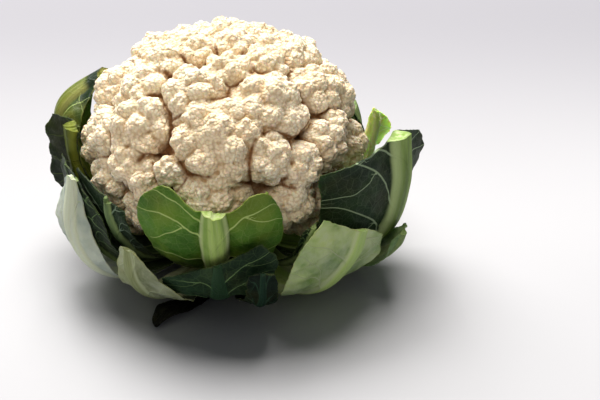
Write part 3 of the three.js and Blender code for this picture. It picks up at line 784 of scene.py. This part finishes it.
def vein_distances(look, share, side, long, wide, seed):
    """Distance in millimetres to the nearest side vein, under 0 below it, over how broad it is there."""
    nearest = np.full(share.shape, 99.0)
    t = np.abs(side)
    for sign, start, climb, reach, fork_at, fork in vein_lines(look, seed):
        for branch in (0, 1):
            late = np.maximum(t - fork_at, 0)
            line = start + climb * (1 - np.exp(-t / reach)) + 0.008 * np.sin(11 * t + 40 * start)
            line += branch * fork * (1 - np.exp(-late / 0.3))
            slope = climb / reach * np.exp(-t / reach) + branch * fork / 0.3 * np.exp(-late / 0.3)
            away = (share - line) * long / np.sqrt(1 + (slope * long / wide) ** 2)
            away /= (1 + (VEIN_TIP_SHARE - 1) * t) * (1 - 0.3 * branch) * look["vein_width"]
            away = np.where((side * sign >= 0) & (t > branch * fork_at), away, 99)
            nearest = np.where(np.abs(away) < np.abs(nearest), away, nearest)
    return nearest


def sheet_faces(rows, columns):
    """Faces of a closed sheet whose points are its inner grid, its outer grid and the rows of its cut end."""
    outer = rows * columns
    cap = 2 * outer
    grid = np.arange(outer).reshape(rows, columns)
    a, b, c, d = grid[:-1, :-1], grid[:-1, 1:], grid[1:, 1:], grid[1:, :-1]
    inside = np.stack([a, d, c, b], -1).reshape(-1, 4)
    faces = inside.tolist() + (inside[:, ::-1] + outer).tolist()
    ends = [grid[-1].tolist()]
    ends += [(cap + k * columns + np.arange(columns)).tolist() for k in range(CAP_ROWS)]
    ends += [(grid[-1] + outer).tolist()]
    for low, high in zip(ends, ends[1:]):
        faces += [[low[k], high[k], high[k + 1], low[k + 1]] for k in range(columns - 1)]
    for k in range(columns - 1):
        faces.append([k, k + 1, k + 1 + outer, k + outer])
    for column, flip in ((0, 1), (columns - 1, -1)):
        for r in range(rows - 1):
            low, high = r * columns + column, (r + 1) * columns + column
            between = [line[column] for line in ends[-2:0:-1]] if r == rows - 2 else []
            faces.append([low, low + outer, high + outer, *between, high][::flip])
    return faces


def leaf_material(name, look):
    paint = Paint(name)
    from_rib, share, margin, cut = (paint.value(label) for label in ("from_rib", "share", "margin", "cut"))
    signed, away = paint.value("vein_side"), paint.value("vein_away")
    spot = paint.vector("spot")
    rib = paint.span(from_rib, 0.92, 1.12, 1.0, 0.0)
    # A vein is thinner than the mesh, so its line is where the signed distance passes 0 near a vein
    off_line = paint.math("ABSOLUTE", signed)
    line = paint.span(off_line, 0.35 * VEIN_HALF_WIDTH, 1.3 * VEIN_HALF_WIDTH, 1.0, 0.0)
    line = paint.math("MULTIPLY", line, paint.span(away, 1.2, 1.8, 1.0, 0.0))
    blade = paint.mix(paint.span(paint.noise(20, 3), 0.36, 0.66), look["dark"], look["light"])
    mottle = paint.span(paint.noise(2.4, 4), 0.42, 0.78)
    blade = paint.mix(paint.part(mottle, 0.2), blade, look["light"])
    blade = paint.mix(paint.part(paint.span(away, 0.5, 4.5, 1.0, 0.0), 0.25), blade, look["light"])
    net = paint.span(paint.cells(5.0, "DISTANCE_TO_EDGE"), 0.0, 0.06, 1.0, 0.0)
    mesh = paint.span(paint.cells(1.7, "DISTANCE_TO_EDGE"), 0.0, 0.11, 1.0, 0.0)
    blade = paint.mix(paint.part(net, look["net"]), blade, look["vein"])
    blade = paint.mix(paint.part(mesh, 0.6 * look["net"]), blade, look["vein"])
    aged = paint.part(paint.span(paint.noise(24, 2), 0.45, 0.7), look["yellow"])
    blade = paint.mix(aged, blade, YELLOWED)
    bloom = paint.part(paint.span(paint.noise(10, 5, 0.7), 0.25, 0.75), look["bloom"])
    blade = paint.mix(bloom, blade, look["bloom_colour"])
    if "tip" in look:
        blade = paint.mix(paint.span(share, 0.8, 0.9), blade, look["tip"])
    foot = paint.part(paint.span(share, 0.15, 0.55, 1.0, 0.0), look["foot"])
    colour = paint.mix(foot, blade, look["foot_colour"])
    colour = paint.mix(paint.part(line, 0.85), colour, look["vein"])
    fibres = paint.span(paint.noise(1.3, 4, place=spot, stretch=(1, 0.05, 1)), 0.35, 0.7)
    stem = paint.mix(paint.span(share, 0.05, 1.0), look["rib_low"], look["rib_high"])
    stem = paint.mix(paint.part(fibres, 0.3), stem, look["rim"])
    streaks = paint.span(paint.noise(4.5, 3, place=spot, stretch=(1, 0.04, 1)), 0.42, 0.62)
    stem = paint.mix(paint.part(streaks, 0.5), stem, look["light"])
    # The rib is painted paler along its rounded sides: a painted highlight.
    stem = paint.mix(paint.part(paint.span(from_rib, 0.62, 0.95), 0.7), stem, look["rim"])
    if "tip" in look:
        stem = paint.mix(paint.span(share, 0.9, 0.94), stem, look["tip"])
    colour = paint.mix(rib, colour, stem)
    near_edge = paint.span(margin, 0.1, 0.9, 1.0, 0.0)
    dry = paint.math("MULTIPLY", near_edge, paint.span(paint.noise(5, 3), 0.35, 0.65))
    colour = paint.mix(paint.part(dry, 0.5), colour, look["edge"])
    cut_colour = paint.mix(paint.span(paint.noise(3, 3), 0.35, 0.65), look["rim"], look["rib_high"])
    colour = paint.mix(paint.math("MULTIPLY", cut, rib), colour, cut_colour)
    relief = paint.bump(paint.noise(1.0, 3), 0.12, 0.5)
    relief = paint.bump(paint.math("ADD", net, paint.part(mesh, 0.35)), 0.1, 0.7, relief)
    relief = paint.bump(line, 0.3, 0.8, relief)
    relief = paint.bump(paint.math("MULTIPLY", fibres, rib), 0.2, 0.8, relief)
    return paint.finish(
        Base_Color=colour,
        Roughness=paint.span(paint.noise(3.0, 3), 0.3, 0.7, look["gloss"], look["gloss"] + 0.14),
        Normal=relief,
        Specular_IOR_Level=look["shine"],
        Subsurface_Weight=look["through"],
        Subsurface_Radius=(0.6, 1.0, 0.25),
        Subsurface_Scale=0.0015,
    )


def make_leaf(name, leaf, seed):
    colour = leaf.get("colour", TIER_COLOURS[leaf["tier"]])
    look = LOOKS[colour] | LEAF_LOOKS.get(name, {})
    rows, columns = FINE_GRID if name in LEAF_LOOKS else PLAIN_GRID
    share, side = np.meshgrid(np.linspace(0, 1, rows), np.linspace(-1, 1, columns), indexing="ij")
    plain = leaf_face(leaf, share, side)
    long = lengths(np.gradient(plain, axis=0)) * (rows - 1)
    wide = lengths(np.gradient(plain, axis=1)) * (columns - 1) / 2
    middle = columns // 2
    length = np.cumsum(long[:, middle])[-1] / rows
    left_half, right_half = (lengths(plain[:, [column]] - plain[:, [middle]]) for column in (0, -1))
    half = np.maximum(left_half, right_half)

    # Fine notches along the edge and the cut end
    edge_place = np.stack([share * length, side * 20], -1)
    notch = RAGGED * (0.6 * ripples(edge_place, 7, seed) + 0.4 * ripples(edge_place, 2.6, seed + 50))
    reach = 1 + (notch * side**4 - look["corner"] * share**8) / half
    top_place = np.stack([side * half, 0 * side], -1)
    top = 0.6 * ripples(top_place, 9, seed + 20) + 0.35 * ripples(top_place, 3, seed + 30)
    lower = 0.4 + RAGGED * top + look["corner"] * side**8
    face = leaf_face(leaf, share * (1 - lower * share**8 / length), side, reach)
    normal = unit(np.cross(np.gradient(face, axis=1), np.gradient(face, axis=0)))

    half_rib = (leaf["width"][0] + (leaf["width"][1] - leaf["width"][0]) * share) / 2
    blade_half = np.where(side < 0, left_half, right_half)
    rib_side = np.minimum(RIB_SIDE_LIMIT, half_rib / blade_half)
    from_rib = np.abs(side) / rib_side
    across = side * blade_half
    vein = vein_distances(look, share, side, long, wide, seed)
    taper = 1 + (VEIN_TIP_SHARE - 1) * np.abs(side)
    distance = np.abs(vein) * taper
    swell = np.sqrt(np.maximum(0, 1 - from_rib**2))
    ridges = 1 + 0.04 * np.cos(3 * math.pi * from_rib) * share
    depth = leaf["depth"][0] + (leaf["depth"][1] - leaf["depth"][0]) * share
    off_rib = smooth_step(0.9, 1.5, from_rib)
    pucker = PUCKER * off_rib * (ripples(face, 9, seed + 60) + 0.4 * ripples(face, 4, seed + 70))
    pucker -= 0.5 * PUCKER * off_rib * np.exp(-((distance / 3.2) ** 2))
    pucker += look["bulge"] * off_rib * np.sin(math.pi * np.abs(side)) * share
    frill = look["frill"] * side**6 * share * ripples(edge_place, 11, seed + 80)
    thickness = EDGE_THICKNESS + (LEAF_THICKNESS - EDGE_THICKNESS) * (1 - side**4)
    relief = VEIN_HEIGHT * taper * np.exp(-((distance / RIDGE_HALF_WIDTH) ** 2))
    relief *= smooth_step(0.7, 1.1, from_rib)
    middle_face = face + normal * (pucker + frill)[..., None]
    inner = middle_face + normal * (0.12 * LEAF_THICKNESS)
    outer = middle_face + normal * (thickness + depth * swell * ridges + relief)[..., None]
    inner[..., 2] = np.maximum(inner[..., 2], LEAF_FLOOR)
    outer[..., 2] = np.maximum(outer[..., 2], BACK_FLOOR)

    # Rows across the cut end, which is a little rough and sinks in its middle
    onward = unit(face[-1] - face[-2])
    caps = []
    for k in range(1, CAP_ROWS + 1):
        part = k / (CAP_ROWS + 1)
        hollow = -0.5 * math.sin(math.pi * part) * swell[-1] + 0.15 * ripples(inner[-1] + k, 2, seed + 90)
        caps.append(inner[-1] + (outer[-1] - inner[-1]) * part + onward * hollow[:, None])
    points = np.concatenate([inner.reshape(-1, 3), outer.reshape(-1, 3), *caps])

    edge_distance = np.minimum((1 - np.abs(side)) * blade_half, (1 - share) * length)
    both = {
        "from_rib": np.minimum(from_rib, 3),
        "vein_side": np.clip(vein, -9, 9),
        "vein_away": np.minimum(distance, 9),
        "share": share,
        "margin": edge_distance,
    }
    values = {}
    for label, numbers in both.items():
        caps_part = np.tile(numbers[-1], CAP_ROWS)
        values[label] = np.concatenate([numbers.ravel(), numbers.ravel(), caps_part])
    flat = np.zeros(rows * columns)
    values["cut"] = np.concatenate([flat, flat, np.ones(CAP_ROWS * columns)])
    spot = np.stack([across, share * length, 0 * share], -1) * MM
    values["spot"] = np.concatenate([spot.reshape(-1, 3)] * 2 + [spot[-1]] * CAP_ROWS)
    piece = "blade_" + name
    faces = sheet_faces(rows, columns)
    material = leaf_material(piece, look)
    add_piece(piece, points, faces, values, name, material, SHARP_ANGLE)


# The stalk
STALK_COLUMNS = 96
CUT_RINGS = 20
SIDE_RINGS = 30
RIM_RADIUS = 2


def stalk_material():
    paint = Paint("stalk")
    radius, height = paint.value("radius"), paint.value("height")
    pith = paint.mix(paint.span(radius, 15, 17.5), "e9ead2", "cfd8a6")
    ring = paint.math("MULTIPLY", paint.span(radius, 16.5, 18), paint.span(radius, 18.5, 20, 1.0, 0.0))
    bundles = paint.span(paint.cells(1.6), 0.2, 0.5, 1.0, 0.0)
    face = paint.mix(paint.math("MULTIPLY", ring, bundles), pith, "a9b878")
    face = paint.mix(paint.math("MULTIPLY", paint.span(paint.noise(5, 4), 0.5, 0.75), 0.6), face, "b79b68")
    skin = paint.mix(paint.span(paint.noise(7, 4), 0.35, 0.65), "c7d09a", "dde0ba")
    fibres = paint.span(paint.noise(1.2, 3, stretch=(1, 1, 0.08)), 0.4, 0.65)
    skin = paint.mix(paint.math("MULTIPLY", fibres, 0.4), skin, "a9b878")
    colour = paint.mix(paint.span(height, 0.2, 1.6), face, skin)
    relief = paint.bump(paint.noise(1.1, 4), 0.25, 0.6)
    relief = paint.bump(fibres, 0.2, 0.6, relief)
    return paint.finish(Base_Color=colour, Roughness=0.6, Normal=relief, Specular_IOR_Level=0.35)


def make_stalk():
    """A turned stem with a rough cut face and shallow scars where the lower leaves left it."""
    flat = STALK_RADIUS - RIM_RADIUS
    profile = [(flat * k / CUT_RINGS, 0) for k in range(1, CUT_RINGS)]
    for k in range(7):
        lean = math.pi / 2 * k / 6
        profile.append((flat + RIM_RADIUS * math.sin(lean), RIM_RADIUS * (1 - math.cos(lean))))
    climb = (STALK_TOP - RIM_RADIUS) / SIDE_RINGS
    profile += [(STALK_RADIUS, RIM_RADIUS + climb * k) for k in range(1, SIDE_RINGS + 1)]
    profile += [(STALK_RADIUS * (1 - k / CUT_RINGS), STALK_TOP) for k in range(1, CUT_RINGS)]
    profile = np.array(profile)
    turn = np.linspace(0, 2 * math.pi, STALK_COLUMNS, endpoint=False)
    radius = np.repeat(profile[:, :1], STALK_COLUMNS, 1)
    height = np.repeat(profile[:, 1:], STALK_COLUMNS, 1)
    points = np.stack([radius * np.cos(turn), radius * np.sin(turn), height], -1)
    side = smooth_step(RIM_RADIUS, 2 * RIM_RADIUS, height) * (radius > STALK_RADIUS - 1e-6)
    scar = np.maximum(0, np.sin(5 * turn + 0.42 * height)) ** 3
    dent = side * (0.25 + 0.2 * ripples(points, 6, 301) - 0.5 * scar - 0.3)
    points[..., :2] *= (1 + np.minimum(dent, 0) / STALK_RADIUS)[..., None]
    rough = 0.12 * (1 + ripples(points, 3, 302)) * (height < 1e-6)
    points[..., 2] += np.maximum(rough, 0)
    rings, columns = height.shape
    ends = np.array([[0, 0, 0.1], [0, 0, STALK_TOP]])
    every = np.concatenate([points.reshape(-1, 3), ends])
    faces = []
    for r in range(rings - 1):
        for c in range(columns):
            a, b = r * columns + c, r * columns + (c + 1) % columns
            faces.append([a, b, b + columns, a + columns])
    low, high, last = rings * columns, rings * columns + 1, (rings - 1) * columns
    for c in range(columns):
        after = (c + 1) % columns
        faces.append([low, after, c])
        faces.append([high, last + c, last + after])
    values = {"radius": lengths(every[:, :2]), "height": every[:, 2]}
    add_piece("cut_stalk", every, faces, values, "stalk", stalk_material(), SHARP_ANGLE)


# The scene
FLOOR_SIZE = 6  # metres, as the lights' size and distance are
LIGHT_SIZE = 1.9
LIGHT_DISTANCE = 3.2
SKY_STRENGTH = 0.13


def make_camera():
    rise = math.radians(CAMERA_ELEVATION)
    up = Vector((0, math.sin(rise), math.cos(rise)))
    forward = Vector((0, math.cos(rise), -math.sin(rise)))
    right, above = (pixels * MM_PER_PIXEL for pixels in HEAD_PIXEL_OFFSET)
    target = Vector((-right, 0, CURD_CENTRE_Z)) - above * up
    camera = bpy.data.objects.new("camera", bpy.data.cameras.new("camera"))
    camera.data.sensor_width = SENSOR_WIDTH
    camera.data.lens = SENSOR_WIDTH * CAMERA_DISTANCE / (PHOTO_WIDTH * MM_PER_PIXEL)
    turn = Matrix(((1, 0, 0), tuple(up), tuple(-forward))).transposed().to_4x4()
    camera.matrix_world = Matrix.Translation((target - forward * CAMERA_DISTANCE) * MM) @ turn
    bpy.context.scene.collection.objects.link(camera)
    bpy.context.scene.camera = camera


def add_light(name, azimuth, elevation, power, colour):
    """A square soft light that looks at the head from a direction."""
    lamp = bpy.data.lights.new(name, "AREA")
    lamp.size = LIGHT_SIZE
    lamp.energy = power
    lamp.color = linear(colour)[:3]
    light = bpy.data.objects.new(name, lamp)
    aim = Vector((0, 0, CURD_CENTRE_Z * MM))
    way = Vector(direction(azimuth, elevation))
    light.location = aim + way * LIGHT_DISTANCE
    light.rotation_euler = way.to_track_quat("Z", "Y").to_euler()
    bpy.context.scene.collection.objects.link(light)
    return light


def make_studio():
    paint = Paint("floor")
    far = paint.node("ShaderNodeSeparateXYZ", {"Vector": paint.place}).outputs["Y"]
    colour = paint.mix(paint.span(paint.noise(300, 2), 0.3, 0.7), "c1c1c4", "bebec1")
    # Darker towards the back: painted shade standing in for the light falling off.
    colour = paint.mix(paint.span(far, 0.0, 0.34), colour, "9d9ca2")
    grain = paint.bump(paint.noise(1.2, 2), 0.05, 0.3)
    floor_material = paint.finish(Base_Color=colour, Roughness=0.75, Specular_IOR_Level=0.2, Normal=grain)
    bpy.ops.mesh.primitive_grid_add(x_subdivisions=8, y_subdivisions=8, size=FLOOR_SIZE, location=(0, 0, 0))
    floor = bpy.context.object
    floor.name = "floor"
    floor.data.materials.append(floor_material)
    world = bpy.data.worlds.new("studio")
    world.use_nodes = True
    sky = world.node_tree.nodes["Background"]
    sky.inputs["Color"].default_value = linear("f2f4f8")
    sky.inputs["Strength"].default_value = SKY_STRENGTH
    bpy.context.scene.world = world
    bpy.context.scene.view_settings.view_transform = "Standard"
    add_light("key", -178, 63, 150, "fffcf8")
    add_light("side", -148, 47, 98, "fffdfa")
    fill = add_light("fill", -20, 54, 41, "fff3e4")
    unlit = bpy.data.collections.new("not lit by the fill")
    unlit.objects.link(floor)
    unlit.collection_objects[0].light_linking.link_state = "EXCLUDE"
    fill.light_linking.receiver_collection = unlit


make_camera()
make_studio()
make_curd()
make_stalk()
for seed, (name, leaf) in enumerate(LEAVES.items(), FIRST_LEAF_SEED):
    make_leaf(name, leaf, seed)
